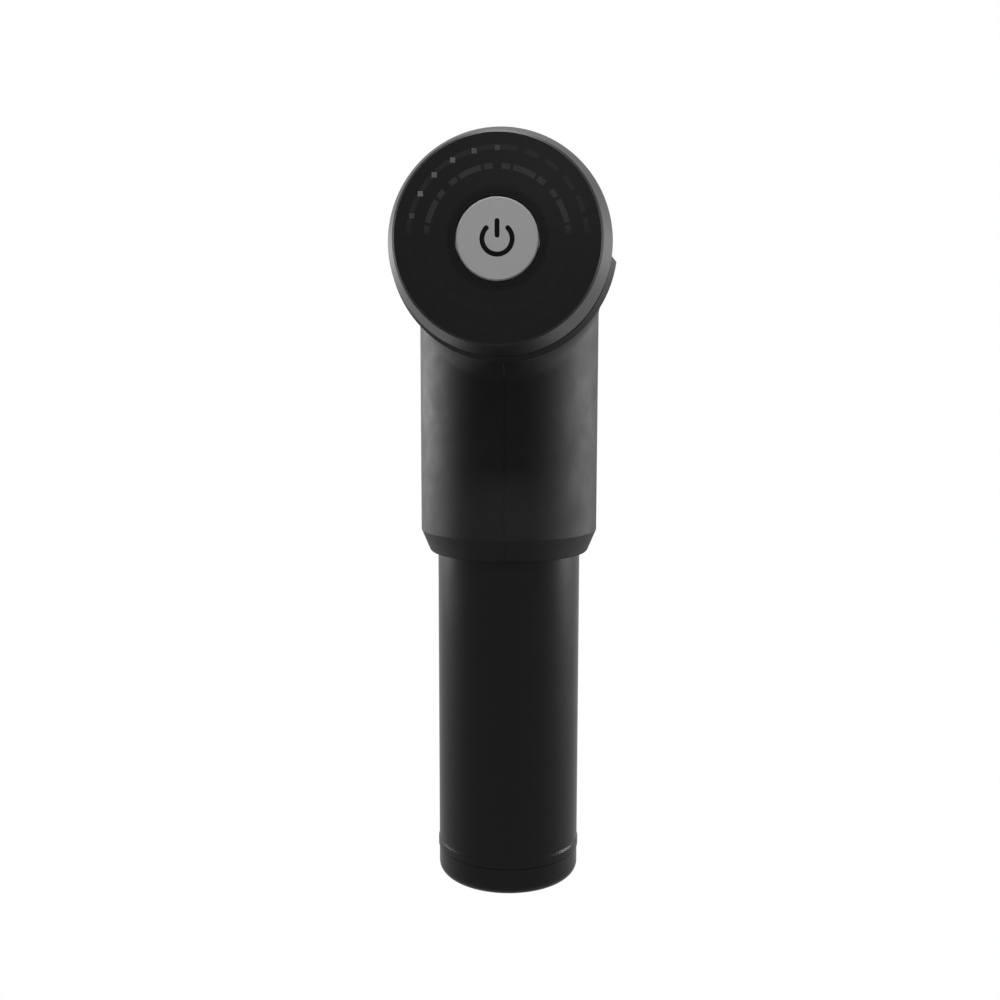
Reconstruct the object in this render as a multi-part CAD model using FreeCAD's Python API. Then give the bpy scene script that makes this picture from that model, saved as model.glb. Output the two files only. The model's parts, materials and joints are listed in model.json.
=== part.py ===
"""Handheld massage gun: display head, neck and collar housing, motor with crank, plunger, battery grip.

Frame: millimetres, +Z up along the grip, origin at the centre of the flat base of the grip.
The display faces -Y and the massage head points to +Y. The object is symmetric about X = 0.
"""

import FreeCAD, Part
import math
import os

# ---- driving dimensions (mm) ----
# battery grip
GRIP_R = 21.8
GRIP_WALL = 1.5
GRIP_CAP_R = 21.8
GRIP_CAP_TOP = 8.4
GRIP_CAP_FILLET = 3.0
GRIP_RING_R = 22.05
GRIP_RING_TOP = 11.6
GRIP_RING_BEVEL = 0.35
PACK_TUBE_TOP = 145.0
PACK_TOP = 149.7
PACK_TOP_WALL = 2.0
PACK_TOP_BORE_R = 18.5
PACK_TOP_BEVEL = 0.8
CONTACT_R = 2.5
CONTACT_CIRCLE = 9.0
CONTACT_PROUD = 0.1
CELL_R = 9.2
CELL_LENGTH = 65.0
CELL_GAP = 1.5
CELL_BOTTOM = 12.0
CELL_COUNT = 3
CELL_LAYERS = 2
CELL_SPACING = 0.05
HOLDER_WINDOW_R = 4.0
JACK_RECESS_R = 4.0
JACK_RECESS_DEPTH = 2.5
JACK_BODY_R = 4.6
JACK_Y = -9.0
JACK_WALL = 1.5
JACK_REAR_WALL = 1.0
JACK_BARREL_R = 2.75
JACK_PIN_R = 0.9
GRIP_CAP_BORE_R = 17.0

# collar and neck
COLLAR_R = 26.9
COLLAR_CHAMFER_TOP = 109.6
COLLAR_CHAMFER_BOTTOM = 103.4
COLLAR_LIP_R = 24.3
COLLAR_LIP_ROUNDING = 0.4
COLLAR_BORE_R = 24.7
PACK_CLEARANCE = 0.35
SLEEVE_BOTTOM = 112.0
SLEEVE_TOP = 151.0
TERMINAL_TOP = 153.0
TERMINAL_PIN_R = 1.2
TERMINAL_GAP = 0.4
NECK_FILLET = 6.5
SEAM_WIDTH = 0.2
SEAM_DEPTH = 0.15
OVERCUT = 0.3

# head
HEAD_Z = 191.7
BARREL_R = 29.3
BARREL_BORE_R = 27.4
BARREL_REAR = -49.0
BARREL_FRONT = 50.0
CRADLE_R = 31.05
CRADLE_REAR = -37.0
CRADLE_FRONT = 37.0
CRADLE_TOP_DROP = 2.4
CRADLE_EDGE_SLOPE = 2.2
CRADLE_RIM_R = 29.5
CRADLE_RIM_SLOPE = 2.0

# nose and plunger bushings
NOSE_TIP = 66.0
NOSE_SHOULDER = 54.0
NOSE_SHOULDER_END = (23.0, 63.5)
NOSE_TIP_R = 20.5
NOSE_BORE_R = 9.0
NOSE_INNER_FACE = 56.0
NOSE_INNER_R = 15.5
NOSE_INNER_CORNER = (24.5, 53.0)
NOSE_SPIGOT_REAR = 46.0
NOSE_SPIGOT_WALL = 2.0
NOSE_SCREW_COUNT = 4
NOSE_SCREW_CIRCLE = 20.0
NOSE_BOSS_R = 3.0
NOSE_BOSS_FRONT = 57.0
NOSE_SCREW_TIP = 47.0
SCREW_R = 1.25
SCREW_HEAD_R = 2.4
SCREW_HEAD = 1.6
SEAL = (62.5, 65.5)
SEAL_GAP = 0.3
FRONT_CARRIER = (31.0, 37.0)
FRONT_BUSHING_FRONT = 60.0
REAR_CARRIER = (-31.0, -25.0)
REAR_BUSHING_FRONT = -20.0
REAR_BUSHING_R = 6.0
CABLE_HOLE_R = 4.0
CABLE_HOLE_DZ = 19.0

# display and button
PANEL_R = 26.1
PANEL_FACE = -60.0
LENS_FACE = -59.95
LENS_BACK = -58.0
DISH_R = 12.9
DISH_DEPTH = 0.12
BEZEL_RIM_R = 26.7
BEZEL_RIM_DEPTH = 0.5
BOARD_FACE = -52.0
BOARD_THICKNESS = 1.6
BOARD_R = 25.4
BEZEL_SKIRT = 4.5
LENS_LEDGE_R = 24.5
CARRIER_THICKNESS = 2.0
CARRIER_BORE_R = 8.0
GUIDE_MARGIN = 0.2
CHIP_HALF = 0.6
CHIP_HEIGHT = 0.8
BUTTON_R = 10.4
BUTTON_GAP = 0.35
BUTTON_FACE = -60.3
BUTTON_TRAVEL = 0.8
BUTTON_EDGE = 0.35
BUTTON_FLANGE_R = 11.6
BUTTON_FLANGE = (-57.6, -56.8)
BUTTON_STEM_R = 2.0
SWITCH_FACE = -54.0
SWITCH_HALF = 3.0
SWITCH_GAP = 0.3
SPRING_R = 5.2
SPRING_WIRE_R = 0.35
SPRING_TURNS = 3.5
SPRING_POINTS_PER_TURN = 16
SYMBOL_R = 4.43
SYMBOL_STROKE = 1.25
SYMBOL_GAP_DEG = 90.0
SYMBOL_BAR_BOTTOM = 0.9
SYMBOL_POCKET = 0.4
SYMBOL_RECESS = 0.15
LEVEL_COUNT = 24
LEVEL_R = (21.9, 23.1)
SPEED_COUNT = 8
SPEED_R = (17.2, 18.6)
SPEED_ARC_DEG = 19.0
SPEED_DASH_DEG = 7.0
WINDOW_DEPTH = 0.6
LEVEL_GAP_DEG = 4.5

# controller
CONTROLLER = (-46.0, -44.4)
CONTROLLER_HALF = 17.0
CONTROLLER_FIXING = 14.5
POST_R = 2.4
POST_SCREW_R = 1.2
POST_SCREW_TIP = -39.0
POST_SPIGOT = 4.0
PACKAGE_HEIGHT = 1.6
PACKAGE_HALF_X = 3.0
PACKAGE_HALF_Z = 2.5
PACKAGE_X = (-8.0, 0.0, 8.0)
PACKAGE_DZ = (-9.0, 9.0)
CAPACITOR_R = 3.0
CAPACITOR_HEIGHT = 7.4
CAPACITOR_X = -13.0

# motor and crank
MOTOR_R = 22.0
MOTOR_WALL = 1.5
MOTOR_BOTTOM = 153.0
MOTOR_TOP = 171.0
MOTOR_PLATE_TOP = 174.0
SHAFT_R = 2.5
BEARING_R = 8.0
BEARING_HEIGHT = 3.0
ROTOR_R = 11.5
TOOTH_TIP_R = 12.0
TOOTH_COUNT = 9
TOOTH_HALF = 1.5
STACK = (160.0, 169.0)
STACK_BORE_R = 17.5
COIL_R = (13.2, 17.0)
COIL_HALF = 2.7
COIL_OVERHANG = 1.2
AIR_GAP = 0.3
MAGNET_OVERHANG = 0.5
MOTOR_SCREW_COUNT = 4
MOTOR_SCREW_CIRCLE = 19.0
MOTOR_SCREW_START_DEG = 20.0
MOTOR_SCREW_TIP = 162.0
MOTOR_SCREW_HEAD = 1.4
CRANK_THROW = 5.0
CRANK_DISC_R = 11.0
CRANK_DISC = (177.5, 183.5)
CRANK_RELIEF_R = 2.6
CRANK_RELIEF = (4.6, 6.0)
CRANK_PIN_R = 2.0
CRANK_PIN_FOOT = 2.0
ROLLER_R = 4.0
ROLLER = (186.2, 197.2)

# plunger and attachment
PLUNGER_R = 7.0
PLUNGER_TIP = 72.0
ROD_R = 4.0
ROD_REAR = -36.0
RUNNING_FIT = 0.05
YOKE_HALF_X = 14.0
YOKE_HALF_Y = 9.0
YOKE_HALF_Z = 4.7
YOKE_SLOT_HALF_Y = 5.2
YOKE_SLOT_HALF_X = 9.6
YOKE_ROUNDING = 3.0
SOCKET_R = 4.5
SOCKET_DEPTH = 24.0
STEM_R = 4.4
STEM_RING_WIRE_R = 0.7
STEM_RING_STEPS = (5.0, 12.0)
STEM_CORE_R = 6.0
STEM_BEVEL = 0.8
FLANGE_R = 9.0
STEM_REAR_GAP = 1.0
BALL_CORE_END = 3.0
BALL_R = 22.0
BALL_Y = 95.0
FLANGE_FRONT = 75.0

Z_AXIS = FreeCAD.Vector(0, 0, 1)
Y_AXIS = FreeCAD.Vector(0, 1, 0)
ORIGIN = FreeCAD.Vector(0, 0, 0)
HEAD_CENTRE = FreeCAD.Vector(0, 0, HEAD_Z)


# ---- construction helpers ----
def cyl_z(radius, bottom, top, x=0.0, y=0.0):
    """Upright cylinder between two heights."""
    return Part.makeCylinder(radius, top - bottom, FreeCAD.Vector(x, y, bottom), Z_AXIS)


def cyl_y(radius, rear, front, x=0.0, dz=0.0):
    """Cylinder along the head axis, offset by x and dz from it."""
    return Part.makeCylinder(radius, front - rear, FreeCAD.Vector(x, rear, HEAD_Z + dz), Y_AXIS)


def tube_z(outer, inner, bottom, top, x=0.0, y=0.0):
    """Upright tube."""
    return cyl_z(outer, bottom, top, x, y).cut(cyl_z(inner, bottom - 1, top + 1, x, y))


def tube_y(outer, inner, rear, front):
    """Tube along the head axis."""
    return cyl_y(outer, rear, front).cut(cyl_y(inner, rear - 1, front + 1))


def box(x_range, y_range, z_range):
    """Box from three (low, high) ranges."""
    corner = FreeCAD.Vector(x_range[0], y_range[0], z_range[0])
    return Part.makeBox(x_range[1] - x_range[0], y_range[1] - y_range[0], z_range[1] - z_range[0], corner)


def turned_z(profile):
    """Solid of revolution about the grip axis from (radius, z) points."""
    wire = Part.makePolygon([FreeCAD.Vector(r, 0, z) for r, z in profile + profile[:1]])
    return Part.Face(wire).revolve(ORIGIN, Z_AXIS, 360)


def turned_y(profile):
    """Solid of revolution about the head axis from (radius, y) points."""
    wire = Part.makePolygon([FreeCAD.Vector(r, y, HEAD_Z) for r, y in profile + profile[:1]])
    return Part.Face(wire).revolve(HEAD_CENTRE, Y_AXIS, 360)


def sector_y(inner, outer, rear, front, centre_deg, arc_deg):
    """Arc-shaped bar about the head axis; angles run from +X towards +Z."""
    corners = [(inner, rear), (outer, rear), (outer, front), (inner, front)]
    wire = Part.makePolygon([FreeCAD.Vector(r, y, HEAD_Z) for r, y in corners + corners[:1]])
    bar = Part.Face(wire).revolve(HEAD_CENTRE, Y_AXIS, arc_deg)
    bar.rotate(HEAD_CENTRE, Y_AXIS, -centre_deg - arc_deg / 2)
    return bar


def head_points(radius, count, start_deg=0.0):
    """Evenly spaced (x, dz) points on a circle about the head axis."""
    angles = [math.radians(start_deg + 360.0 * i / count) for i in range(count)]
    return [(radius * math.cos(a), radius * math.sin(a)) for a in angles]


def cut_all(shape, tools):
    """Shape with every tool removed."""
    for tool in tools:
        shape = shape.cut(tool)
    return shape


def solids(shapes):
    """One compound of separate solids."""
    return Part.makeCompound([solid for shape in shapes for solid in shape.Solids])


def save(name, shape):
    """Write one node."""
    shape.exportStep("parts/" + name + ".step")


# ---- neck, cradle and collar ----
def housing_blank(inset):
    """Solid collar, neck and cradle, every outer face moved inwards by the inset."""
    collar = turned_z([
        (0, COLLAR_CHAMFER_BOTTOM - COLLAR_LIP_ROUNDING + inset),
        (COLLAR_LIP_R - COLLAR_LIP_ROUNDING - inset, COLLAR_CHAMFER_BOTTOM - COLLAR_LIP_ROUNDING + inset),
        (COLLAR_LIP_R - inset, COLLAR_CHAMFER_BOTTOM),
        (COLLAR_R - inset, COLLAR_CHAMFER_TOP),
        (COLLAR_R - inset, HEAD_Z),
        (0, HEAD_Z),
    ])
    cradle = turned_y([
        (0, CRADLE_REAR + inset),
        (CRADLE_RIM_R - inset, CRADLE_REAR + inset),
        (CRADLE_R - inset, CRADLE_REAR + CRADLE_RIM_SLOPE),
        (CRADLE_R - inset, CRADLE_FRONT - CRADLE_RIM_SLOPE),
        (CRADLE_RIM_R - inset, CRADLE_FRONT - inset),
        (0, CRADLE_FRONT - inset),
    ])
    blank = collar.fuse(cradle)
    corner_edges = [e for e in blank.Edges if on_neck_corner(e, inset)]
    return blank.makeFillet(NECK_FILLET + inset, corner_edges)


def housing_shell():
    """Collar, neck and the cradle that wraps the lower half of the head barrel."""
    shell = housing_blank(0.0)
    reach = 2 * CRADLE_FRONT
    cradle_top = HEAD_Z - CRADLE_TOP_DROP
    above = box((-reach, reach), (-reach, reach), (cradle_top, HEAD_Z + reach))
    pack_bore = cyl_z(GRIP_R + PACK_CLEARANCE, 0, SLEEVE_TOP)
    collar_bore = cyl_z(COLLAR_BORE_R, SLEEVE_BOTTOM, HEAD_Z)
    seat = cyl_y(BARREL_R, -reach, reach)
    shell = cut_all(shell, [above, pack_bore, collar_bore, seat] + cradle_edge_wedges(reach))
    seam = box((-SEAM_WIDTH / 2, SEAM_WIDTH / 2), (-reach, reach), (0, HEAD_Z))
    return shell.cut(seam.cut(housing_blank(SEAM_DEPTH)))


def cradle_edge_wedges(reach):
    """Wedges that slope the upper edges of the cradle outwards and down."""
    top = HEAD_Z - CRADLE_TOP_DROP
    wedges = []
    for side in (-1, 1):
        corners = [
            (side * BARREL_R, top),
            (side * (CRADLE_R + OVERCUT), top - CRADLE_EDGE_SLOPE),
            (side * (CRADLE_R + OVERCUT), top),
        ]
        wire = Part.makePolygon([FreeCAD.Vector(x, -reach, z) for x, z in corners + corners[:1]])
        wedges.append(Part.Face(wire).extrude(FreeCAD.Vector(0, 2 * reach, 0)))
    return wedges


def on_neck_corner(edge, inset):
    """True for the curve where the upright collar meets the cradle."""
    middle = edge.valueAt((edge.FirstParameter + edge.LastParameter) / 2)
    from_grip = math.hypot(middle.x, middle.y)
    from_head = math.hypot(middle.x, middle.z - HEAD_Z)
    return abs(from_grip - COLLAR_R + inset) < 0.01 and abs(from_head - CRADLE_R + inset) < 0.01


def make_housing():
    """Left and right halves of the housing, parted on X = 0."""
    shell = housing_shell()
    reach = 2 * CRADLE_FRONT
    left_side = box((-reach, 0), (-reach, reach), (0, HEAD_Z))
    right_side = box((0, reach), (-reach, reach), (0, HEAD_Z))
    save("handle_housing_left", shell.common(left_side))
    save("handle_housing_right", shell.common(right_side))
    save("battery_sleeve", tube_z(COLLAR_BORE_R, GRIP_R + PACK_CLEARANCE, SLEEVE_BOTTOM, SLEEVE_TOP))


# ---- head shell ----
def nose_screw_points():
    """Screw positions of the nose cap."""
    return head_points(NOSE_SCREW_CIRCLE, NOSE_SCREW_COUNT, 180.0 / NOSE_SCREW_COUNT)


def make_barrel():
    """Head barrel, opened below where the motor rises into it."""
    barrel = tube_y(BARREL_R, BARREL_BORE_R, BARREL_REAR, BARREL_FRONT)
    opening = cyl_z(COLLAR_BORE_R, HEAD_Z - BARREL_R - OVERCUT, HEAD_Z)
    save("head_barrel", barrel.cut(opening))


def make_nose():
    """Nose cap, its screws and the dust seal round the plunger."""
    shell = turned_y([
        (BARREL_R, BARREL_FRONT),
        (BARREL_R, NOSE_SHOULDER),
        NOSE_SHOULDER_END,
        (NOSE_TIP_R, NOSE_TIP),
        (NOSE_BORE_R, NOSE_TIP),
        (NOSE_BORE_R, NOSE_INNER_FACE),
        (NOSE_INNER_R, NOSE_INNER_FACE),
        NOSE_INNER_CORNER,
        (BARREL_BORE_R - NOSE_SPIGOT_WALL, NOSE_SPIGOT_REAR),
        (BARREL_BORE_R, NOSE_SPIGOT_REAR),
        (BARREL_BORE_R, BARREL_FRONT),
    ])
    boss_rear = FRONT_CARRIER[1]
    head_rear = FRONT_CARRIER[0] - SCREW_HEAD
    screws = []
    for x, dz in nose_screw_points():
        boss = cyl_y(NOSE_BOSS_R, boss_rear, NOSE_BOSS_FRONT, x, dz)
        shank = cyl_y(SCREW_R, FRONT_CARRIER[0], NOSE_SCREW_TIP, x, dz)
        shell = shell.fuse(boss).cut(shank)
        screws.append(shank.fuse(cyl_y(SCREW_HEAD_R, head_rear, FRONT_CARRIER[0], x, dz)))
    save("nose_cap", shell)
    save("nose_screws", solids(screws))
    save("dust_seal", tube_y(NOSE_BORE_R, PLUNGER_R + SEAL_GAP, SEAL[0], SEAL[1]))


def make_bearings_for_plunger():
    """Bushings that guide the plunger and the discs that hold them in the barrel."""
    rear, front = FRONT_CARRIER
    disc = tube_y(BARREL_BORE_R, NOSE_BORE_R, rear, front)
    screws = [cyl_y(SCREW_R, rear, front, x, dz) for x, dz in nose_screw_points()]
    save("front_bushing_carrier", cut_all(disc, screws))
    save("front_bushing", tube_y(NOSE_BORE_R, PLUNGER_R + RUNNING_FIT, rear, FRONT_BUSHING_FRONT))
    rear, front = REAR_CARRIER
    disc = tube_y(BARREL_BORE_R, REAR_BUSHING_R, rear, front)
    disc = disc.cut(cyl_y(CABLE_HOLE_R, rear, front, 0.0, CABLE_HOLE_DZ))
    spigots = [cyl_y(POST_SCREW_R, rear, front, x, dz) for x, dz in post_points()]
    save("rear_bushing_carrier", cut_all(disc, spigots))
    save("rear_bushing", tube_y(REAR_BUSHING_R, ROD_R + RUNNING_FIT, rear, REAR_BUSHING_FRONT))


# ---- display ----
def make_bezel():
    """Bevelled metal ring round the display."""
    ring = turned_y([
        (PANEL_R, PANEL_FACE),
        (BEZEL_RIM_R, PANEL_FACE + BEZEL_RIM_DEPTH),
        (BARREL_R, BARREL_REAR),
        (BARREL_BORE_R, BARREL_REAR),
        (BARREL_BORE_R, BARREL_REAR + BEZEL_SKIRT),
        (BOARD_R, BARREL_REAR + BEZEL_SKIRT),
        (BOARD_R, BOARD_FACE),
        (LENS_LEDGE_R, BOARD_FACE),
        (LENS_LEDGE_R, LENS_BACK),
        (PANEL_R, LENS_BACK),
    ])
    save("bezel_ring", ring)


def window(band, centre_deg, arc_deg):
    """One window, flush with the lens face."""
    return sector_y(band[0], band[1], LENS_FACE, LENS_FACE + WINDOW_DEPTH, centre_deg, arc_deg)


def level_windows():
    """Windows of the outer ring of lights."""
    step = 360.0 / LEVEL_COUNT
    return [window(LEVEL_R, (i + 0.5) * step, step - LEVEL_GAP_DEG) for i in range(LEVEL_COUNT)]


def speed_windows():
    """Long and short windows of the inner ring of lights."""
    step = 360.0 / SPEED_COUNT
    bars = []
    for i in range(SPEED_COUNT):
        bars.append(window(SPEED_R, (i + 0.5) * step, SPEED_ARC_DEG))
        for side in (-1, 1):
            bars.append(window(SPEED_R, i * step + side * SPEED_DASH_DEG, SPEED_DASH_DEG))
    return bars


def make_display():
    """Smoked lens with flush windows, light guide, board, lights and carrier."""
    lens = turned_y([
        (PANEL_R, LENS_FACE),
        (DISH_R, LENS_FACE),
        (DISH_R - DISH_DEPTH, LENS_FACE + DISH_DEPTH),
        (BUTTON_R + BUTTON_GAP, LENS_FACE + DISH_DEPTH),
        (BUTTON_R + BUTTON_GAP, LENS_BACK),
        (PANEL_R, LENS_BACK),
    ])
    save("display_lens", cut_all(lens, level_windows() + speed_windows()))
    save("level_windows", solids(level_windows()))
    save("speed_windows", solids(speed_windows()))
    chip_face = BOARD_FACE - CHIP_HEIGHT
    guides = []
    for inner, outer in (LEVEL_R, SPEED_R):
        guides.append(tube_y(outer + GUIDE_MARGIN, inner - GUIDE_MARGIN, LENS_BACK, chip_face))
    save("light_guide", solids(guides))
    chips = [chip_at(x, dz) for x, dz in head_points(sum(LEVEL_R) / 2, LEVEL_COUNT)]
    chips += [chip_at(x, dz) for x, dz in head_points(sum(SPEED_R) / 2, SPEED_COUNT, 180.0 / SPEED_COUNT)]
    save("led_chips", solids(chips))
    board_front = BOARD_FACE + BOARD_THICKNESS
    save("display_board", cyl_y(BOARD_R, BOARD_FACE, board_front))
    save("display_carrier", tube_y(BOARD_R, CARRIER_BORE_R, board_front, board_front + CARRIER_THICKNESS))


def chip_at(x, dz):
    """One surface-mounted light."""
    z = HEAD_Z + dz
    depth = (BOARD_FACE - CHIP_HEIGHT, BOARD_FACE)
    return box((x - CHIP_HALF, x + CHIP_HALF), depth, (z - CHIP_HALF, z + CHIP_HALF))


# ---- power button ----
def symbol_solids(rear, front):
    """Standby symbol: an open ring and an upright bar."""
    ring = tube_y(SYMBOL_R, SYMBOL_R - SYMBOL_STROKE, rear, front)
    gap = sector_y(SYMBOL_STROKE, SYMBOL_R + OVERCUT, rear - OVERCUT, front + OVERCUT, 90.0, SYMBOL_GAP_DEG)
    bar_half = SYMBOL_STROKE / 2
    bar = box((-bar_half, bar_half), (rear, front), (HEAD_Z + SYMBOL_BAR_BOTTOM, HEAD_Z + SYMBOL_R))
    for dz in (SYMBOL_BAR_BOTTOM, SYMBOL_R):
        bar = bar.fuse(cyl_y(bar_half, rear, front, 0.0, dz))
    open_ring = ring.cut(gap)
    mean_r = SYMBOL_R - bar_half
    for side in (-1, 1):
        end = math.radians(90.0 + side * SYMBOL_GAP_DEG / 2)
        x, dz = mean_r * math.cos(end), mean_r * math.sin(end)
        open_ring = open_ring.fuse(cyl_y(bar_half, rear, front, x, dz))
    return [open_ring.removeSplitter(), bar.removeSplitter()]


def helix_spring(radius, wire_r, rear, front, turns):
    """Round-wire compression spring along the head axis."""
    rise = front - rear - 2 * wire_r
    steps = int(turns * SPRING_POINTS_PER_TURN)
    points = []
    for i in range(steps + 1):
        angle = 2 * math.pi * turns * i / steps
        y = rear + wire_r + rise * i / steps
        points.append(FreeCAD.Vector(radius * math.cos(angle), y, HEAD_Z + radius * math.sin(angle)))
    curve = Part.BSplineCurve()
    curve.interpolate(points)
    start_tangent = curve.tangent(curve.FirstParameter)[0]
    ring = Part.Wire(Part.makeCircle(wire_r, points[0], start_tangent))
    return Part.Wire(curve.toShape()).makePipeShell([ring], True, True)


def make_button():
    """Button cap with recessed standby symbol, its spring and the switch it presses."""
    cap = cyl_y(BUTTON_R, BUTTON_FACE, BUTTON_FLANGE[0])
    face_edge = [e for e in cap.Edges if abs(e.CenterOfMass.y - BUTTON_FACE) < 0.01]
    cap = cap.makeChamfer(BUTTON_EDGE, face_edge)
    cap = cap.fuse(cyl_y(BUTTON_FLANGE_R, BUTTON_FLANGE[0], BUTTON_FLANGE[1]))
    stem_tip = SWITCH_FACE - BUTTON_TRAVEL - SWITCH_GAP
    cap = cap.fuse(cyl_y(BUTTON_STEM_R, BUTTON_FLANGE[1], stem_tip)).removeSplitter()
    pocket_floor = BUTTON_FACE + SYMBOL_POCKET
    save("power_button", cut_all(cap, symbol_solids(BUTTON_FACE - OVERCUT, pocket_floor)))
    save("power_symbol", solids(symbol_solids(BUTTON_FACE + SYMBOL_RECESS, pocket_floor)))
    save("button_spring", helix_spring(SPRING_R, SPRING_WIRE_R, BUTTON_FLANGE[1], BOARD_FACE, SPRING_TURNS))
    half = SWITCH_HALF
    save("button_switch", box((-half, half), (SWITCH_FACE, BOARD_FACE), (HEAD_Z - half, HEAD_Z + half)))


# ---- controller ----
def post_points():
    """Corner fixings of the controller board."""
    offsets = (-CONTROLLER_FIXING, CONTROLLER_FIXING)
    return [(x, dz) for x in offsets for dz in offsets]


def make_controller():
    """Controller board on four posts behind the display."""
    rear, front = CONTROLLER
    half = CONTROLLER_HALF
    board = box((-half, half), CONTROLLER, (HEAD_Z - half, HEAD_Z + half))
    holes = [cyl_y(POST_SCREW_R, rear, front, x, dz) for x, dz in post_points()]
    save("controller_board", cut_all(board, holes))
    post_front = REAR_CARRIER[0]
    posts = []
    screws = []
    for x, dz in post_points():
        shank = cyl_y(POST_SCREW_R, rear, POST_SCREW_TIP, x, dz)
        post = cyl_y(POST_R, front, post_front, x, dz)
        post = post.fuse(cyl_y(POST_SCREW_R, post_front, post_front + POST_SPIGOT, x, dz))
        posts.append(post.cut(shank))
        screws.append(shank.fuse(cyl_y(SCREW_HEAD_R, rear - SCREW_HEAD, rear, x, dz)))
    save("board_standoffs", solids(posts))
    save("board_screws", solids(screws))
    parts = [package_at(x, dz) for x in PACKAGE_X for dz in PACKAGE_DZ]
    parts.append(cyl_y(CAPACITOR_R, front, front + CAPACITOR_HEIGHT, CAPACITOR_X, 0.0))
    save("controller_parts", solids(parts))


def package_at(x, dz):
    """One chip package on the controller board."""
    z = HEAD_Z + dz
    face = CONTROLLER[1]
    return box((x - PACKAGE_HALF_X, x + PACKAGE_HALF_X), (face, face + PACKAGE_HEIGHT),
               (z - PACKAGE_HALF_Z, z + PACKAGE_HALF_Z))


# ---- motor ----
def motor_screw_points():
    """Screws that hold the motor under its mounting plate."""
    return head_points(MOTOR_SCREW_CIRCLE, MOTOR_SCREW_COUNT, MOTOR_SCREW_START_DEG)


def make_motor():
    """Can, stator, windings, bearings, plate and screws of the motor."""
    floor = MOTOR_BOTTOM + MOTOR_WALL
    can = turned_z([
        (0, MOTOR_BOTTOM), (MOTOR_R, MOTOR_BOTTOM), (MOTOR_R, MOTOR_TOP),
        (MOTOR_R - MOTOR_WALL, MOTOR_TOP), (MOTOR_R - MOTOR_WALL, floor),
        (BEARING_R + 2, floor), (BEARING_R + 2, floor + BEARING_HEIGHT),
        (BEARING_R, floor + BEARING_HEIGHT), (BEARING_R, floor), (0, floor),
    ])
    save("motor_can", can)
    stator = tube_z(MOTOR_R - MOTOR_WALL, STACK_BORE_R, STACK[0], STACK[1])
    coils = []
    for i in range(TOOTH_COUNT):
        angle = 360.0 * i / TOOTH_COUNT
        tooth = box((TOOTH_TIP_R + AIR_GAP, STACK_BORE_R + AIR_GAP), (-TOOTH_HALF, TOOTH_HALF), STACK)
        coil = box(COIL_R, (-COIL_HALF, COIL_HALF), (STACK[0] - COIL_OVERHANG, STACK[1] + COIL_OVERHANG))
        coil = coil.cut(tooth)
        for piece in (tooth, coil):
            piece.rotate(ORIGIN, Z_AXIS, angle)
        stator = stator.fuse(tooth)
        coils.append(coil)
    shanks = [cyl_z(SCREW_R, MOTOR_SCREW_TIP, MOTOR_PLATE_TOP, x, y) for x, y in motor_screw_points()]
    save("motor_stator", cut_all(stator, shanks))
    save("motor_windings", solids(coils))
    lower = tube_z(BEARING_R, SHAFT_R + RUNNING_FIT, floor, floor + BEARING_HEIGHT)
    upper = tube_z(BEARING_R, SHAFT_R + RUNNING_FIT, MOTOR_TOP, MOTOR_PLATE_TOP)
    save("motor_bearings", solids([lower, upper]))
    save("motor_plate", cut_all(tube_z(COLLAR_BORE_R, BEARING_R, MOTOR_TOP, MOTOR_PLATE_TOP), shanks))
    head_top = MOTOR_PLATE_TOP + MOTOR_SCREW_HEAD
    heads = [cyl_z(SCREW_HEAD_R, MOTOR_PLATE_TOP, head_top, x, y) for x, y in motor_screw_points()]
    save("motor_screws", solids([head.fuse(shank) for head, shank in zip(heads, shanks)]))


def make_rotor():
    """Shaft, magnets, crank disc with counterweight, crank pin and roller."""
    bottom, top = CRANK_DISC
    save("motor_shaft", cyl_z(SHAFT_R, MOTOR_BOTTOM + MOTOR_WALL + TERMINAL_GAP, top))
    save("rotor_magnets", tube_z(ROTOR_R, SHAFT_R, STACK[0] - MAGNET_OVERHANG, STACK[1] + MAGNET_OVERHANG))
    disc = tube_z(CRANK_DISC_R, SHAFT_R, bottom, top)
    for side in (-1, 1):
        disc = disc.cut(cyl_z(CRANK_RELIEF_R, bottom, top, CRANK_RELIEF[0], side * CRANK_RELIEF[1]))
    pin_bottom = bottom + CRANK_PIN_FOOT
    save("crank_disc", disc.cut(cyl_z(CRANK_PIN_R, pin_bottom, top, CRANK_THROW)))
    save("crank_pin", cyl_z(CRANK_PIN_R, pin_bottom, ROLLER[1], CRANK_THROW))
    save("crank_roller", tube_z(ROLLER_R, CRANK_PIN_R, ROLLER[0], ROLLER[1], CRANK_THROW))


# ---- plunger and attachment ----
def make_plunger():
    """Slotted yoke, front shaft with socket, rear guide rod."""
    yoke = box((-YOKE_HALF_X, YOKE_HALF_X), (-YOKE_HALF_Y, YOKE_HALF_Y),
               (HEAD_Z - YOKE_HALF_Z, HEAD_Z + YOKE_HALF_Z))
    upright = [e for e in yoke.Edges if abs(e.CenterOfMass.z - HEAD_Z) < 0.01]
    yoke = yoke.makeFillet(YOKE_ROUNDING, upright)
    slot = box((-YOKE_SLOT_HALF_X, YOKE_SLOT_HALF_X), (-YOKE_SLOT_HALF_Y, YOKE_SLOT_HALF_Y),
               (HEAD_Z - YOKE_HALF_Z - OVERCUT, HEAD_Z + YOKE_HALF_Z + OVERCUT))
    save("plunger_yoke", yoke.cut(slot))
    shaft = cyl_y(PLUNGER_R, YOKE_HALF_Y, PLUNGER_TIP)
    shaft = shaft.cut(cyl_y(SOCKET_R, PLUNGER_TIP - SOCKET_DEPTH, PLUNGER_TIP + OVERCUT))
    save("plunger_shaft", shaft)
    save("plunger_guide_rod", cyl_y(ROD_R, ROD_REAR, -YOKE_HALF_Y))


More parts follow.
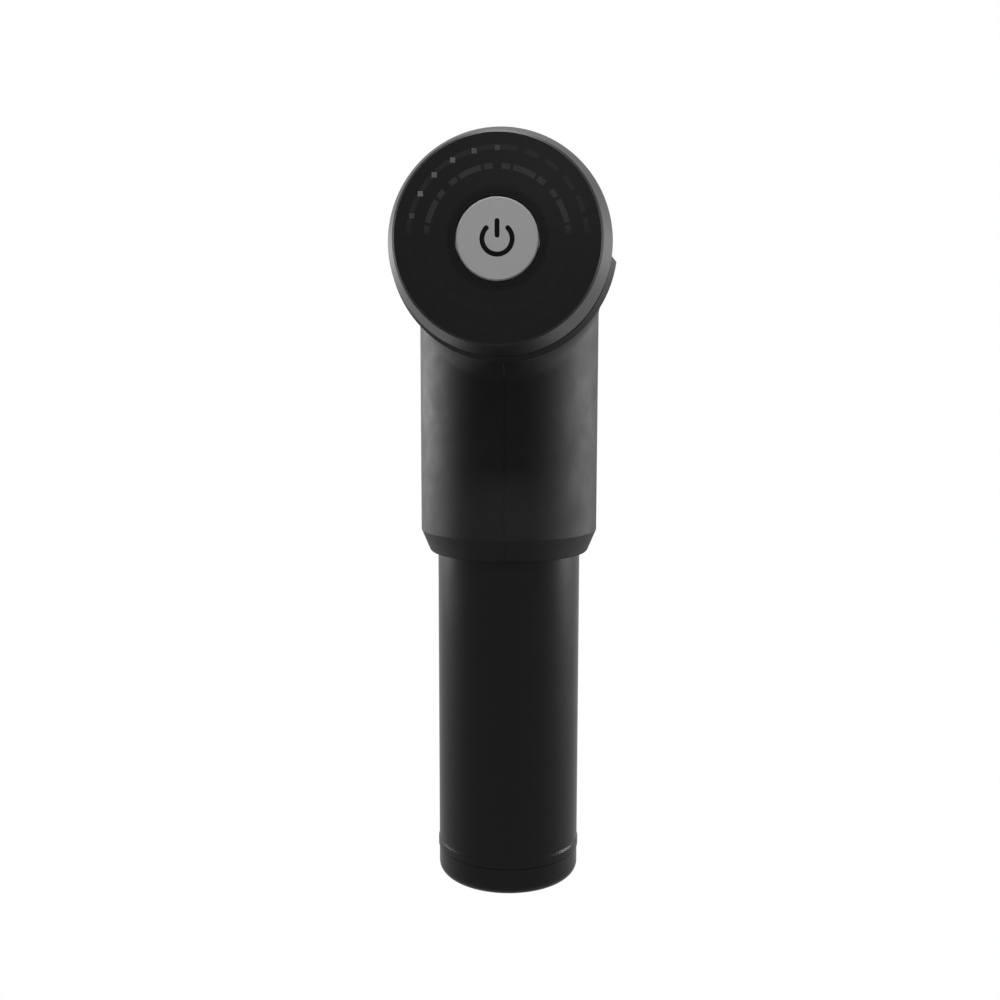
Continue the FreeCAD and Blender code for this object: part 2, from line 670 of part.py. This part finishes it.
def make_attachment():
    """Ball head on a stem that pushes into the plunger."""
    stem_rear = PLUNGER_TIP - SOCKET_DEPTH + STEM_REAR_GAP
    core_front = BALL_Y - BALL_CORE_END
    stem = turned_y([
        (0, stem_rear),
        (STEM_R - STEM_BEVEL, stem_rear),
        (STEM_R, stem_rear + STEM_BEVEL),
        (STEM_R, PLUNGER_TIP),
        (FLANGE_R, PLUNGER_TIP),
        (FLANGE_R, FLANGE_FRONT),
        (STEM_CORE_R, FLANGE_FRONT),
        (STEM_CORE_R, core_front),
        (0, core_front),
    ])
    ring_r = SOCKET_R - RUNNING_FIT - STEM_RING_WIRE_R
    groove_r = ring_r - STEM_RING_WIRE_R
    half_groove = STEM_RING_WIRE_R + RUNNING_FIT
    rings = []
    for step in STEM_RING_STEPS:
        y = stem_rear + step
        stem = stem.cut(tube_y(STEM_R + OVERCUT, groove_r, y - half_groove, y + half_groove))
        rings.append(Part.makeTorus(ring_r, STEM_RING_WIRE_R, FreeCAD.Vector(0, y, HEAD_Z), Y_AXIS))
    save("attachment_stem", stem)
    save("stem_rings", solids(rings))
    ball = Part.makeSphere(BALL_R, FreeCAD.Vector(0, BALL_Y, HEAD_Z))
    behind = cyl_y(BALL_R, BALL_Y - BALL_R - OVERCUT, FLANGE_FRONT)
    core = cyl_y(STEM_CORE_R, FLANGE_FRONT - OVERCUT, core_front)
    save("ball_head", cut_all(ball, [behind, core]))


# ---- battery grip ----
def cell_points():
    """Axes of the cells in one layer."""
    spread = 2 * (CELL_R + CELL_SPACING) / math.sqrt(3)
    angles = [math.radians(90.0 + 360.0 * i / CELL_COUNT) for i in range(CELL_COUNT)]
    return [(spread * math.cos(a), spread * math.sin(a)) for a in angles]


def make_cells():
    """Two layers of three cells between three holder plates."""
    cells = []
    plates = []
    inner_r = GRIP_R - GRIP_WALL
    z = CELL_BOTTOM
    for layer in range(CELL_LAYERS):
        plates.append((z - CELL_GAP, z))
        cells += [cyl_z(CELL_R, z, z + CELL_LENGTH, x, y) for x, y in cell_points()]
        z += CELL_LENGTH + CELL_GAP
    plates.append((z - CELL_GAP, z))
    save("battery_cells", solids(cells))
    windows = [cyl_z(HOLDER_WINDOW_R, 0, PACK_TOP, x, y) for x, y in cell_points()]
    save("cell_holders", solids([cut_all(cyl_z(inner_r, a, b), windows) for a, b in plates]))


def contact_points():
    """Power and sense contacts between pack and gun."""
    return [(-CONTACT_CIRCLE, 0.0), (0.0, CONTACT_CIRCLE), (CONTACT_CIRCLE, 0.0)]


def make_pack():
    """Grip tube, joint ring, top cap with contacts and protection board."""
    inner_r = GRIP_R - GRIP_WALL
    save("grip_tube", tube_z(GRIP_R, inner_r, GRIP_RING_TOP, PACK_TUBE_TOP))
    flat_r = GRIP_RING_R - GRIP_RING_BEVEL
    save("grip_ring", turned_z([
        (inner_r, GRIP_CAP_TOP),
        (flat_r, GRIP_CAP_TOP),
        (GRIP_RING_R, GRIP_CAP_TOP + GRIP_RING_BEVEL),
        (GRIP_RING_R, GRIP_RING_TOP - 2 * GRIP_RING_BEVEL),
        (GRIP_R, GRIP_RING_TOP),
        (inner_r, GRIP_RING_TOP),
    ]))
    top = cyl_z(GRIP_R, PACK_TUBE_TOP, PACK_TOP)
    top = top.cut(cyl_z(PACK_TOP_BORE_R, PACK_TUBE_TOP, PACK_TOP - PACK_TOP_WALL))
    rim = [e for e in top.Edges if abs(e.CenterOfMass.z - PACK_TOP) < 0.01]
    top = top.makeChamfer(PACK_TOP_BEVEL, rim)
    board_top = PACK_TUBE_TOP + BOARD_THICKNESS
    contacts = [cyl_z(CONTACT_R, board_top, PACK_TOP + CONTACT_PROUD, x, y) for x, y in contact_points()]
    save("pack_top_cap", cut_all(top, contacts))
    save("pack_contacts", solids(contacts))
    save("protection_board", cyl_z(PACK_TOP_BORE_R - 2 * OVERCUT, PACK_TUBE_TOP, board_top))


def make_grip_end():
    """End cap of the grip with the charging jack sunk into it."""
    spigot_top = CELL_BOTTOM - CELL_GAP
    cap = cyl_z(GRIP_CAP_R, 0, GRIP_CAP_TOP)
    base_edge = [e for e in cap.Edges if abs(e.CenterOfMass.z) < 0.01]
    cap = cap.makeFillet(GRIP_CAP_FILLET, base_edge)
    cap = cap.fuse(cyl_z(GRIP_R - GRIP_WALL, GRIP_CAP_TOP, spigot_top))
    cap = cap.cut(cyl_z(GRIP_CAP_BORE_R, JACK_RECESS_DEPTH, spigot_top))
    cap = cap.fuse(cyl_z(JACK_BODY_R + JACK_WALL, JACK_RECESS_DEPTH, spigot_top, 0.0, JACK_Y))
    jack = cyl_z(JACK_BODY_R, JACK_RECESS_DEPTH, spigot_top, 0.0, JACK_Y)
    recess = cyl_z(JACK_RECESS_R, 0, JACK_RECESS_DEPTH, 0.0, JACK_Y)
    save("grip_cap", cut_all(cap, [jack, recess]).removeSplitter())
    barrel_floor = spigot_top - JACK_REAR_WALL
    jack = jack.cut(cyl_z(JACK_BARREL_R, JACK_RECESS_DEPTH, barrel_floor, 0.0, JACK_Y))
    pin = cyl_z(JACK_PIN_R, JACK_RECESS_DEPTH + OVERCUT, barrel_floor + OVERCUT, 0.0, JACK_Y)
    save("charging_jack", jack.fuse(pin).removeSplitter())


def make_terminals():
    """Terminal block under the motor with three contact pins."""
    pins = [cyl_z(TERMINAL_PIN_R, PACK_TOP + TERMINAL_GAP, TERMINAL_TOP, x, y) for x, y in contact_points()]
    save("terminal_block", cut_all(cyl_z(COLLAR_BORE_R, SLEEVE_TOP, TERMINAL_TOP), pins))
    save("terminal_pins", solids(pins))


def main():
    os.makedirs("parts", exist_ok=True)
    make_housing()
    make_barrel()
    make_nose()
    make_bearings_for_plunger()
    make_bezel()
    make_display()
    make_button()
    make_controller()
    make_motor()
    make_rotor()
    make_plunger()
    make_attachment()
    make_cells()
    make_pack()
    make_grip_end()
    make_terminals()


main()
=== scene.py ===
import json
import math

import bmesh
import bpy
from mathutils import Euler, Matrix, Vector


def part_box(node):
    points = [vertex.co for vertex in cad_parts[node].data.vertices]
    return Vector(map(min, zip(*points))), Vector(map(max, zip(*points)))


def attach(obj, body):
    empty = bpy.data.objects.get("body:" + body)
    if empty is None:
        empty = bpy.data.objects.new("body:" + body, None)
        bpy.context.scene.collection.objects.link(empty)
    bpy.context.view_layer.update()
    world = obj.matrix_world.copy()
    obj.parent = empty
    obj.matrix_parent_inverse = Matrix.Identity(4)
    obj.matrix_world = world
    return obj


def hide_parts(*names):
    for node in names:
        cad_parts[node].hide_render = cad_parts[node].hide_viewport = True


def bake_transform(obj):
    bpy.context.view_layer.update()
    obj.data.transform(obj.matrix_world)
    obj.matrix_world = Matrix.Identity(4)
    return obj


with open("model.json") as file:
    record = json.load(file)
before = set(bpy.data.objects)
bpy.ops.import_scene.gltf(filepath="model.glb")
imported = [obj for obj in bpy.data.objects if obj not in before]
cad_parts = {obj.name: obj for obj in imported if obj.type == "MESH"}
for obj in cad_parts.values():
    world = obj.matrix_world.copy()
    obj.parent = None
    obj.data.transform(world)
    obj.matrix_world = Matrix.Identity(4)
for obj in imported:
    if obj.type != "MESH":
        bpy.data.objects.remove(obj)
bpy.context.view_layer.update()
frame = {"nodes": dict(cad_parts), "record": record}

MM = 0.001
HEAD_Z = sum(corner[2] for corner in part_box("display_lens")) / 2
LENS_FACE_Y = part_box("display_lens")[0][1]

# Surface patterns: sizes are noise scales per metre, spreads are fractions.
COLOR_SCALE = 60.0
WEAR_SCALE = 140.0
WEAR_SPREAD = 0.06
NOISE_RANGE = (0.3, 0.7)

# Display.
WINDOW_LOW = (0.009, 0.009, 0.010)
# The paler window colour and its fade height and outer-ring share below are painted light: the windows
# are painted paler towards their top, where light from above falls.
WINDOW_PAINTED_LIGHT = (0.036, 0.036, 0.038)
PAINTED_LIGHT_FADE = 4.5 * MM
INNER_RING_END = 19.0 * MM
OUTER_RING_START = 21.5 * MM
OUTER_RING_PAINTED_LIGHT_SHARE = 0.4
DISH_EDGE = 13.2 * MM
DISH_FADE = 1.0 * MM
DISH_SHINE = 0.30
LENS_SHINE = 0.48
LED_MARK_R = 22.3 * MM
LED_MARK_SIZE = 1.3 * MM
LED_MARK_PROUD = 0.02 * MM
LED_MARK_SUNK = 0.10 * MM
# Angle in degrees and grey of each mark. The marks sit only in the upper left, and their greys are
# painted highlight: light from the upper left catching the LED chips behind the lens, stronger on some
# chips than others.
LED_MARK_PAINTED_HIGHLIGHT = ((90, 0.06), (105, 0.10), (120, 0.15), (135, 0.16), (150, 0.20), (165, 0.07))

# Neck.
COLLAR_R = 26.9 * MM
CRADLE_R = 31.05 * MM
NECK_FILLET = 6.5 * MM
# The seam strip is a painted highlight: a pale line standing for light caught on the edge of the
# parting-line groove.
SEAM_WIDTH = 0.24 * MM
SEAM_PROUD = 0.02 * MM
SEAM_ARC_DEG = 65.0
SEAM_STEPS = 16

# Studio, in metres, watts and degrees. Ramps are (0..1 position, grey).
SURROUND_R = 1.5
SURROUND_Z = 0.15
SURROUND_BY_DEPTH = ((0.0, 0.26), (0.33, 0.26), (0.5, 0.32), (0.86, 0.5), (1.0, 0.8))
SURROUND_BY_HEIGHT = ((0.0, 1.0), (0.25, 1.0), (0.52, 0.72), (0.62, 1.0), (1.0, 1.0))
FLOOR_SIDE = 3.0
FLOOR_FRONT_Y = -0.1
HEAD_AIM = (0, -0.06, HEAD_Z)
SIDE_LIGHT_DISTANCE = 0.8
SIDE_LIGHT_Z = 0.20
SIDE_LIGHT_TARGET_Z = 0.155
SIDE_LIGHT_SIZE = (0.40, 0.20)
SIDE_LIGHT_SPREAD = 50.0
FRONT_LIGHT_SPREAD = 16.0


# ---- material building ----
def new_material(name):
    """Empty node material with a principled shader; returns material, tree and shader."""
    material = bpy.data.materials.new(name)
    material.use_nodes = True
    tree = material.node_tree
    shader = tree.nodes["Principled BSDF"]
    return material, tree, shader


def noise(tree, scale, detail=4.0, roughness=0.55):
    """Noise in object coordinates, so that it stays put on the piece."""
    coordinates = tree.nodes.new("ShaderNodeTexCoord")
    texture = tree.nodes.new("ShaderNodeTexNoise")
    texture.inputs["Scale"].default_value = scale
    texture.inputs["Detail"].default_value = detail
    texture.inputs["Roughness"].default_value = roughness
    tree.links.new(coordinates.outputs["Object"], texture.inputs["Vector"])
    return texture.outputs["Fac"]


def between(tree, value, start, end, low, high):
    """Value remapped from start..end to low..high."""
    node = tree.nodes.new("ShaderNodeMapRange")
    node.inputs["From Min"].default_value = start
    node.inputs["From Max"].default_value = end
    node.inputs["To Min"].default_value = low
    node.inputs["To Max"].default_value = high
    tree.links.new(value, node.inputs["Value"])
    return node.outputs["Result"]


def vary_color(tree, shader, color, spread, scale):
    """Base colour that drifts a little lighter and darker."""
    mix = tree.nodes.new("ShaderNodeMix")
    mix.data_type = "RGBA"
    dark = [c * (1 - spread) for c in color]
    light = [min(1.0, c * (1 + spread)) for c in color]
    mix.inputs["A"].default_value = (*dark, 1)
    mix.inputs["B"].default_value = (*light, 1)
    tree.links.new(noise(tree, scale), mix.inputs["Factor"])
    tree.links.new(mix.outputs["Result"], shader.inputs["Base Color"])
    shader.inputs["Base Color"].default_value = (*color, 1)


def add_bump(tree, shader, scale, depth, strength=0.5):
    """Fine surface grain."""
    bump = tree.nodes.new("ShaderNodeBump")
    bump.inputs["Strength"].default_value = strength
    bump.inputs["Distance"].default_value = depth
    tree.links.new(noise(tree, scale, 2.0), bump.inputs["Height"])
    tree.links.new(bump.outputs["Normal"], shader.inputs["Normal"])


def surface(name, color, rough, metal=0.0, spread=0.12, grain=900.0, grain_depth=0.00002, ior=1.5):
    """Procedural finish: drifting colour, uneven roughness with faint wear, fine grain."""
    material, tree, shader = new_material(name)
    shader.inputs["Metallic"].default_value = metal
    shader.inputs["IOR"].default_value = ior
    shader.inputs["Roughness"].default_value = rough
    vary_color(tree, shader, color, spread, COLOR_SCALE)
    smooth = rough * (1 - WEAR_SPREAD)
    worn = min(1.0, rough * (1 + WEAR_SPREAD))
    wear = between(tree, noise(tree, WEAR_SCALE, 6.0), *NOISE_RANGE, smooth, worn)
    tree.links.new(wear, shader.inputs["Roughness"])
    add_bump(tree, shader, grain, grain_depth)
    return material


def panel_position(tree):
    """Height above the head axis and distance from it, in object coordinates."""
    lens = frame["nodes"]["display_lens"].data.vertices
    middle = (min(v.co.z for v in lens) + max(v.co.z for v in lens)) / 2
    coordinates = tree.nodes.new("ShaderNodeTexCoord")
    centred = tree.nodes.new("ShaderNodeVectorMath")
    centred.operation = "SUBTRACT"
    centred.inputs[1].default_value = (0, 0, middle)
    tree.links.new(coordinates.outputs["Object"], centred.inputs[0])
    split = tree.nodes.new("ShaderNodeSeparateXYZ")
    tree.links.new(centred.outputs["Vector"], split.inputs["Vector"])
    flat = tree.nodes.new("ShaderNodeCombineXYZ")
    tree.links.new(split.outputs["X"], flat.inputs["X"])
    tree.links.new(split.outputs["Z"], flat.inputs["Z"])
    distance = tree.nodes.new("ShaderNodeVectorMath")
    distance.operation = "LENGTH"
    tree.links.new(flat.outputs["Vector"], distance.inputs[0])
    return split.outputs["Z"], distance.outputs["Value"]


def window_with_painted_top_light():
    """Smoked plastic that blends into the lens below the middle and has painted light above it: the
    windows are painted paler towards the top, where light from above falls, and less so in the outer
    ring.
    """
    material = surface("window_plastic", WINDOW_LOW, 0.22, grain=700.0)
    tree = material.node_tree
    height, distance = panel_position(tree)
    # Painted light from above: the window colour gets paler with height, less in the outer ring.
    painted_top_light = tree.nodes.new("ShaderNodeMath")
    painted_top_light.operation = "MULTIPLY"
    tree.links.new(between(tree, height, 0.0, PAINTED_LIGHT_FADE, 0.0, 1.0), painted_top_light.inputs[0])
    painted_light_by_ring = between(tree, distance, INNER_RING_END, OUTER_RING_START, 1.0, OUTER_RING_PAINTED_LIGHT_SHARE)
    tree.links.new(painted_light_by_ring, painted_top_light.inputs[1])
    mix = tree.nodes.new("ShaderNodeMix")
    mix.data_type = "RGBA"
    mix.inputs["A"].default_value = (*WINDOW_LOW, 1)
    mix.inputs["B"].default_value = (*WINDOW_PAINTED_LIGHT, 1)
    tree.links.new(painted_top_light.outputs["Value"], mix.inputs["Factor"])
    tree.links.new(mix.outputs["Result"], tree.nodes["Principled BSDF"].inputs["Base Color"])
    return material


def lens_finish():
    """Smoked glossy plastic, less shiny in the dish round the button."""
    material = surface("lens_plastic", (0.009, 0.009, 0.010), 0.18, grain=400.0, grain_depth=0.000004)
    tree = material.node_tree
    distance = panel_position(tree)[1]
    shine = between(tree, distance, DISH_EDGE - DISH_FADE, DISH_EDGE, DISH_SHINE, LENS_SHINE)
    tree.links.new(shine, tree.nodes["Principled BSDF"].inputs["Specular IOR Level"])
    return material


# ---- finishes of the object ----
SLOTS = {
    "housing_plastic": surface("housing_plastic", (0.008, 0.008, 0.0084), 0.68, grain=1600.0),
    "grip_plastic": surface("grip_plastic", (0.004, 0.004, 0.0043), 0.32, grain=1200.0),
    "bezel_metal": surface("bezel_metal", (0.02, 0.02, 0.0205), 0.45, spread=0.05, grain=1800.0),
    "lens_plastic": lens_finish(),
    "window_plastic": window_with_painted_top_light(),
    "button_metal": surface("button_metal", (0.46, 0.465, 0.46), 0.48, spread=0.03, grain=2200.0),
    "symbol_plastic": surface("symbol_plastic", (0.004, 0.004, 0.004), 0.9, ior=1.3),
    "light_guide_plastic": surface("light_guide_plastic", (0.75, 0.75, 0.73), 0.3),
    "board": surface("board", (0.02, 0.16, 0.06), 0.4),
    "chip": surface("chip", (0.03, 0.03, 0.03), 0.5),
    "led": surface("led", (0.8, 0.8, 0.7), 0.3),
    "inner_plastic": surface("inner_plastic", (0.07, 0.07, 0.075), 0.55),
    "steel": surface("steel", (0.55, 0.55, 0.57), 0.3, metal=1.0),
    "chrome_steel": surface("chrome_steel", (0.75, 0.75, 0.77), 0.12, metal=1.0, spread=0.03),
    "can_steel": surface("can_steel", (0.45, 0.45, 0.47), 0.38, metal=1.0),
    "lamination": surface("lamination", (0.3, 0.3, 0.32), 0.45, metal=1.0),
    "copper": surface("copper", (0.65, 0.28, 0.12), 0.35, metal=1.0),
    "magnet": surface("magnet", (0.2, 0.2, 0.21), 0.5, metal=0.8),
    "bronze": surface("bronze", (0.5, 0.34, 0.14), 0.42, metal=1.0),
    "contact_brass": surface("contact_brass", (0.75, 0.55, 0.22), 0.28, metal=1.0),
    "aluminium": surface("aluminium", (0.68, 0.69, 0.71), 0.3, metal=1.0),
    "seal_rubber": surface("seal_rubber", (0.02, 0.02, 0.02), 0.75),
    "ball_rubber": surface("ball_rubber", (0.035, 0.035, 0.037), 0.62, grain=1400.0, grain_depth=0.00005),
    "cell_wrap": surface("cell_wrap", (0.06, 0.2, 0.5), 0.3),
}


def paint_nodes():
    """Give every CAD node the finish of its material slot."""
    for row in frame["record"]["subparts"]:
        node = frame["nodes"][row["node"]]
        node.data.materials.clear()
        node.data.materials.append(SLOTS[row["material_slot"]])


# ---- thin details ----
def mesh_piece(name, vertices, faces, material):
    """Plain mesh object."""
    mesh = bpy.data.meshes.new(name)
    mesh.from_pydata(vertices, [], faces)
    mesh.materials.append(material)
    piece = bpy.data.objects.new(name, mesh)
    bpy.context.scene.collection.objects.link(piece)
    return piece


def make_painted_led_highlights():
    """Small pale squares of the lights that show through the upper left of the lens: a painted highlight
    where light from the upper left catches the LED chips, each square's grey set by how much light falls
    on it.
    """
    half = LED_MARK_SIZE / 2
    front = LENS_FACE_Y - LED_MARK_PROUD
    back = LENS_FACE_Y + LED_MARK_SUNK
    for angle_deg, grey in LED_MARK_PAINTED_HIGHLIGHT:
        angle = math.radians(angle_deg)
        x = LED_MARK_R * math.cos(angle)
        z = HEAD_Z + LED_MARK_R * math.sin(angle)
        corners = [(x - half, z - half), (x + half, z - half), (x + half, z + half), (x - half, z + half)]
        vertices = [(cx, front, cz) for cx, cz in corners] + [(cx, back, cz) for cx, cz in corners]
        faces = [(0, 1, 2, 3), (4, 7, 6, 5), (0, 4, 5, 1), (1, 5, 6, 2), (2, 6, 7, 3), (3, 7, 4, 0)]
        # Each mark's grey is painted highlight, not the chip's own colour.
        finish = surface("painted_led_highlight_%d" % angle_deg, (grey, grey, grey), 0.3, grain=700.0)
        piece = mesh_piece("painted_led_highlight_%d" % angle_deg, vertices, faces, finish)
        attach(piece, "housing")


def make_neck_seam_highlight():
    """Fine pale line on the parting line where it crosses the neck fillet: the groove is real, the pale
    strip in it is a painted highlight of light caught on the groove's edge.
    """
    radius = NECK_FILLET - SEAM_PROUD
    centre_y = -COLLAR_R - NECK_FILLET
    centre_z = HEAD_Z - CRADLE_R - NECK_FILLET
    vertices = []
    for i in range(SEAM_STEPS + 1):
        angle = math.radians(90 - SEAM_ARC_DEG * i / SEAM_STEPS)
        for x in (-SEAM_WIDTH / 2, SEAM_WIDTH / 2):
            vertices.append((x, centre_y + radius * math.cos(angle), centre_z + radius * math.sin(angle)))
    faces = [(2 * i, 2 * i + 1, 2 * i + 3, 2 * i + 2) for i in range(SEAM_STEPS)]
    # Painted highlight: pale grey standing for light on the groove's edge.
    finish = surface("painted_seam_highlight", (0.045, 0.045, 0.046), 0.6, grain=1600.0)
    piece = mesh_piece("painted_seam_highlight", vertices, faces, finish)
    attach(piece, "housing")


def make_button_coil():
    """Spring under the button, copied from the CAD spring into its own object; the CAD spring is hidden.
    """
    node = frame["nodes"]["button_spring"]
    mesh = node.data.copy()
    mesh.transform(node.matrix_world)
    coil = bpy.data.objects.new("button_coil", mesh)
    bpy.context.scene.collection.objects.link(coil)
    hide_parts("button_spring")
    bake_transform(coil)


# ---- studio ----
def camera_at(x, y, z, yaw_deg, pitch_deg, roll_deg, lens):
    """Camera looking along +Y, turned by yaw towards +X, pitched down and rolled a little."""
    data = bpy.data.cameras.new("camera")
    data.lens = lens
    data.sensor_width = 36.0
    data.clip_start = 0.01
    camera = bpy.data.objects.new("camera", data)
    camera.location = (x, y, z)
    aim = Euler((math.radians(90 - pitch_deg), 0, math.radians(-yaw_deg)), "XYZ").to_matrix()
    roll = Euler((0, 0, math.radians(roll_deg)), "XYZ").to_matrix()
    camera.rotation_euler = (aim @ roll).to_euler()
    bpy.context.scene.collection.objects.link(camera)
    bpy.context.scene.camera = camera


def area_light(name, place, target, size, power):
    """Rectangular soft light aimed at a point."""
    data = bpy.data.lights.new(name, "AREA")
    data.shape = "RECTANGLE"
    data.size = size[0]
    data.size_y = size[1]
    data.energy = power
    light = bpy.data.objects.new(name, data)
    light.location = place
    aim = Vector(target) - Vector(place)
    light.rotation_euler = aim.to_track_quat("-Z", "Y").to_euler()
    bpy.context.scene.collection.objects.link(light)
    return light


def glow_material(name, color, strength):
    """Evenly glowing surface for the floor."""
    material = bpy.data.materials.new(name)
    material.use_nodes = True
    tree = material.node_tree
    tree.nodes.clear()
    glow = tree.nodes.new("ShaderNodeEmission")
    glow.inputs["Color"].default_value = (*color, 1)
    glow.inputs["Strength"].default_value = strength
    out = tree.nodes.new("ShaderNodeOutputMaterial")
    tree.links.new(glow.outputs["Emission"], out.inputs["Surface"])
    return material


def ramp(tree, value, limits, stops):
    """Grey ramp over a coordinate; stops are (0..1 position, grey)."""
    position_on_ramp = between(tree, value, *limits, 0.0, 1.0)
    curve = tree.nodes.new("ShaderNodeValToRGB")
    elements = curve.color_ramp.elements
    while len(elements) < len(stops):
        elements.new(0.5)
    for element, (position, grey) in zip(elements, stops):
        element.position = position
        element.color = (grey, grey, grey, 1)
    tree.links.new(position_on_ramp, curve.inputs["Fac"])
    return curve.outputs["Color"]


def surround_material():
    """Glow that is dim in front and below, brighter above and white behind the object."""
    material = bpy.data.materials.new("surround_glow")
    material.use_nodes = True
    tree = material.node_tree
    tree.nodes.clear()
    coordinates = tree.nodes.new("ShaderNodeTexCoord")
    split = tree.nodes.new("ShaderNodeSeparateXYZ")
    tree.links.new(coordinates.outputs["Object"], split.inputs["Vector"])
    depth = ramp(tree, split.outputs["Y"], (-SURROUND_R, SURROUND_R), SURROUND_BY_DEPTH)
    height = ramp(tree, split.outputs["Z"], (-SURROUND_R, SURROUND_R), SURROUND_BY_HEIGHT)
    product = tree.nodes.new("ShaderNodeMath")
    product.operation = "MULTIPLY"
    tree.links.new(depth, product.inputs[0])
    tree.links.new(height, product.inputs[1])
    glow = tree.nodes.new("ShaderNodeEmission")
    glow.inputs["Color"].default_value = (1, 1, 1, 1)
    glow.inputs["Strength"].default_value = 1.0
    tree.links.new(product.outputs["Value"], glow.inputs["Strength"])
    out = tree.nodes.new("ShaderNodeOutputMaterial")
    tree.links.new(glow.outputs["Emission"], out.inputs["Surface"])
    return material


def make_surround():
    """Large ball of soft light round the object, hidden from the camera."""
    mesh = bpy.data.meshes.new("surround_ball")
    ball = bmesh.new()
    bmesh.ops.create_uvsphere(ball, u_segments=48, v_segments=24, radius=SURROUND_R)
    ball.to_mesh(mesh)
    ball.free()
    mesh.materials.append(surround_material())
    piece = bpy.data.objects.new("surround_ball", mesh)
    piece.location = (0, 0, SURROUND_Z)
    piece.visible_camera = False
    bpy.context.scene.collection.objects.link(piece)


def side_light(name, azimuth_deg, power):
    """Soft light at an azimuth measured from -Y, aimed at the middle of the object."""
    azimuth = math.radians(azimuth_deg)
    x = SIDE_LIGHT_DISTANCE * math.sin(azimuth)
    y = -SIDE_LIGHT_DISTANCE * math.cos(azimuth)
    light = area_light(name, (x, y, SIDE_LIGHT_Z), (0, 0, SIDE_LIGHT_TARGET_Z), SIDE_LIGHT_SIZE, power)
    light.data.spread = math.radians(SIDE_LIGHT_SPREAD)


def make_studio():
    """White background and floor for the camera, soft surround and five lamps."""
    world = bpy.data.worlds.new("backdrop")
    bpy.context.scene.world = world
    world.use_nodes = True
    backdrop = world.node_tree.nodes["Background"]
    backdrop.inputs["Color"].default_value = (1, 1, 1, 1)
    backdrop.inputs["Strength"].default_value = 1.0
    corners = [
        (-FLOOR_SIDE, FLOOR_FRONT_Y, 0),
        (FLOOR_SIDE, FLOOR_FRONT_Y, 0),
        (FLOOR_SIDE, FLOOR_SIDE, 0),
        (-FLOOR_SIDE, FLOOR_SIDE, 0),
    ]
    floor = mesh_piece("floor", corners, [(0, 1, 2, 3)], glow_material("floor_white", (1, 1, 1), 1.0))
    floor.visible_diffuse = False
    floor.visible_glossy = False
    make_surround()
    side_light("left_light", -115.0, 0.62)
    side_light("right_light", 109.0, 0.60)
    area_light("top_light", (0.0, 0.10, 0.95), (0, 0, HEAD_Z), (0.4, 0.4), 5.0)
    front = area_light("front_light", (0.0, -0.45, 0.65), HEAD_AIM, (0.1, 0.1), 0.02)
    front.data.spread = math.radians(FRONT_LIGHT_SPREAD)
    area_light("sheen_light", (0.06, -1.0, 0.36), HEAD_AIM, (0.22, 0.12), 0.012)


paint_nodes()
make_painted_led_highlights()
make_neck_seam_highlight()
make_button_coil()
make_studio()
camera_at(19.0 * MM, -364.7 * MM, 164.05 * MM, -3.414, 7.16, 0.08, 43.0)
bpy.context.scene.view_settings.view_transform = "Standard"
